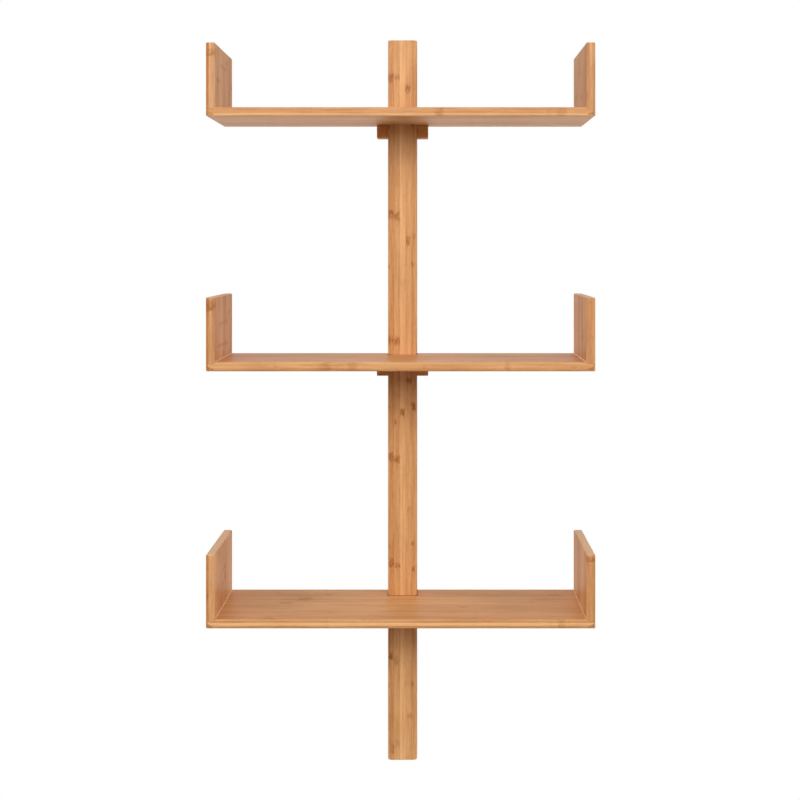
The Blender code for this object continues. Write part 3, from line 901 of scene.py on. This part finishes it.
def makeJointGlueAndFootShade():
    values = glueAndShadeValues
    filmPaint = makeGlueAndShade("glueFilm", *values["filmLook"])
    beadPaint = makeGlueAndShade("glueBead", *values["beadLook"])
    footShadePaint = makeGlueAndShade("footShadeBead", *values["footShadeLook"])
    low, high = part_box("side_bottom_left")
    bottom, top = (corner.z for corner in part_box("board_bottom"))
    film = modelFilm(low.x, bottom, low.y, high.y)
    bead = modelBead(high.x, top, low.y, high.y)
    foot = modelFootShade(top)
    for level in levels:
        lift = (0, 0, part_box(f"board_{level}")[1].z - top)
        for side in sides:
            for first, name, paint in ((film, "glue_film", filmPaint), (bead, "glue_bead", beadPaint)):
                piece = copyTo(first, lift, mirrored=side == "right")
                finishPiece(piece, f"{name}_{level}_{side}", paint)
        # a dark sheet of painted shade round the post's foot on each tray
        finishPiece(copyTo(foot, lift), f"painted_shade_foot_{level}", footShadePaint)
    for first in (film, bead, foot):
        bpy.data.objects.remove(first)


def dressFittings():
    # keyhole plates and screws
    plateSteel = makeSteel("plateSteel", steelValues["plateBrush"])
    screwSteel = makeSteel("screwSteel", steelValues["screwBrush"])
    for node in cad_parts:
        if node.startswith("hanger_plate"):
            dress(node, plateSteel, dressValues["plateEdge"])
        elif "screw" in node:
            dress(node, screwSteel)


dressPost()
print("post dressed")
for level in levels:
    dressBoard(level)
    for side in sides:
        dressSide(level, side)
    dressCleat(level)
    print("tray dressed:", level)
makeJointGlueAndFootShade()
print("joints glued")
dressFittings()
print("plates and screws dressed")


# Stage: floor, light and camera

stageValues = {
    "floorHeight": -1.45,
    "floorSize": 3.4,
    "floorColour": (0.80, 0.80, 0.80, 1),
    "floorRoughness": 0.7,
    "whiteEdge": (0.9, 1.35),  # the floor turns to plain white this far from the shelf
    "glossOnFloor": (0.0, 0.6),  # gloss finds the white backdrop from here on behind the shelf
    "glossOnWorld": (0.0, 0.5),  # and in these directions
    "fill": 0.14,
    "lamps": (  # place, size, power
        ((0, -3.0, 1.45), 1.5, 43),
        ((-2.2, -3.8, 3.0), 2.0, 33),
        ((2.2, -3.8, 3.0), 2.0, 33),
        ((-3.6, -1.2, 1.4), 2.0, 62),
        ((3.6, -1.2, 1.4), 2.0, 62),
        ((0, 2.4, -1.0), 1.6, 24),
    ),
    "aim": (0, 0, 0.1),
}


def whiteShown(tree, vector, behindEdge):
    # the white backdrop shows to the camera, through glass, and in gloss that looks behind the shelf
    rays = addNode(tree, "ShaderNodeLightPath").outputs
    behind = ramp(tree, split(tree, vector)[1], *behindEdge)
    glossy = calc(tree, "MULTIPLY", rays["Is Glossy Ray"], behind)
    shown = calc(tree, "MAXIMUM", glossy, rays["Is Transmission Ray"])
    return calc(tree, "MAXIMUM", rays["Is Camera Ray"], shown)


def mixShaders(tree, factor, first, second, outputName):
    mix = tree.nodes.new("ShaderNodeMixShader")
    for socket, value in zip(mix.inputs, (factor, first, second)):
        put(tree, socket, value)
    tree.links.new(mix.outputs[0], tree.nodes[outputName].inputs["Surface"])


def makeFloor():
    values = stageValues
    bpy.ops.mesh.primitive_plane_add(size=values["floorSize"], location=(0, 0, values["floorHeight"]))
    floor = bpy.context.object
    floor.name = "floor"
    settle(floor)
    material, tree, shader = newMaterial("floorPaint")
    shader.inputs["Base Color"].default_value = values["floorColour"]
    shader.inputs["Roughness"].default_value = values["floorRoughness"]
    place = addNode(tree, "ShaderNodeTexCoord").outputs["Object"]
    flat = vectorCalc(tree, "MULTIPLY", place, (1, 1, 0))
    far = addNode(tree, "ShaderNodeVectorMath", (flat,), operation="LENGTH").outputs["Value"]
    shown = whiteShown(tree, place, values["glossOnFloor"])
    white = addNode(tree, "ShaderNodeEmission").outputs[0]
    factor = calc(tree, "MULTIPLY", ramp(tree, far, *values["whiteEdge"]), shown)
    mixShaders(tree, factor, shader.outputs[0], white, "Material Output")
    floor.data.materials.append(material)


def makeWorld():
    values = stageValues
    world = bpy.data.worlds.new("studio")
    bpy.context.scene.world = world
    world.use_nodes = True
    tree = world.node_tree
    light = tree.nodes["Background"]
    light.inputs["Strength"].default_value = values["fill"]
    light.inputs["Color"].default_value = (1, 1, 1, 1)
    white = addNode(tree, "ShaderNodeBackground", ((1, 1, 1, 1), 1.0)).outputs[0]
    direction = addNode(tree, "ShaderNodeTexCoord").outputs["Generated"]
    shown = whiteShown(tree, direction, values["glossOnWorld"])
    mixShaders(tree, shown, light.outputs[0], white, "World Output")


def makeLights():
    for place, size, power in stageValues["lamps"]:
        turn = (Vector(place) - Vector(stageValues["aim"])).to_track_quat("Z", "Y").to_euler()
        bpy.ops.object.light_add(type="AREA", location=place, rotation=turn)
        lamp = bpy.context.object
        lamp.data.shape = "SQUARE"
        lamp.data.size = size
        lamp.data.energy = power
        lamp.visible_camera = False
        lamp.visible_glossy = place[1] < 0  # the one behind only softens the undersides


# Level camera in front of the shelf: its shift keeps the uprights parallel, as in the photograph
cameraValues = {
    "place": (43.7 * mm, -1828 * mm, 250.5 * mm),
    "turn": (math.radians(90), 0, 0),
    "sensor": 36,
    "lens": 49.07,
    "shift": (-0.03625, -0.19),
}


def makeCamera():
    values = cameraValues
    bpy.ops.object.camera_add(location=values["place"], rotation=values["turn"])
    camera = bpy.context.object
    camera.name = "camera"
    camera.data.sensor_width = values["sensor"]
    camera.data.lens = values["lens"]
    camera.data.shift_x, camera.data.shift_y = values["shift"]
    bpy.context.scene.camera = camera


makeFloor()
makeWorld()
makeLights()
makeCamera()
bpy.context.scene.view_settings.view_transform = "Standard"
print("stage set")
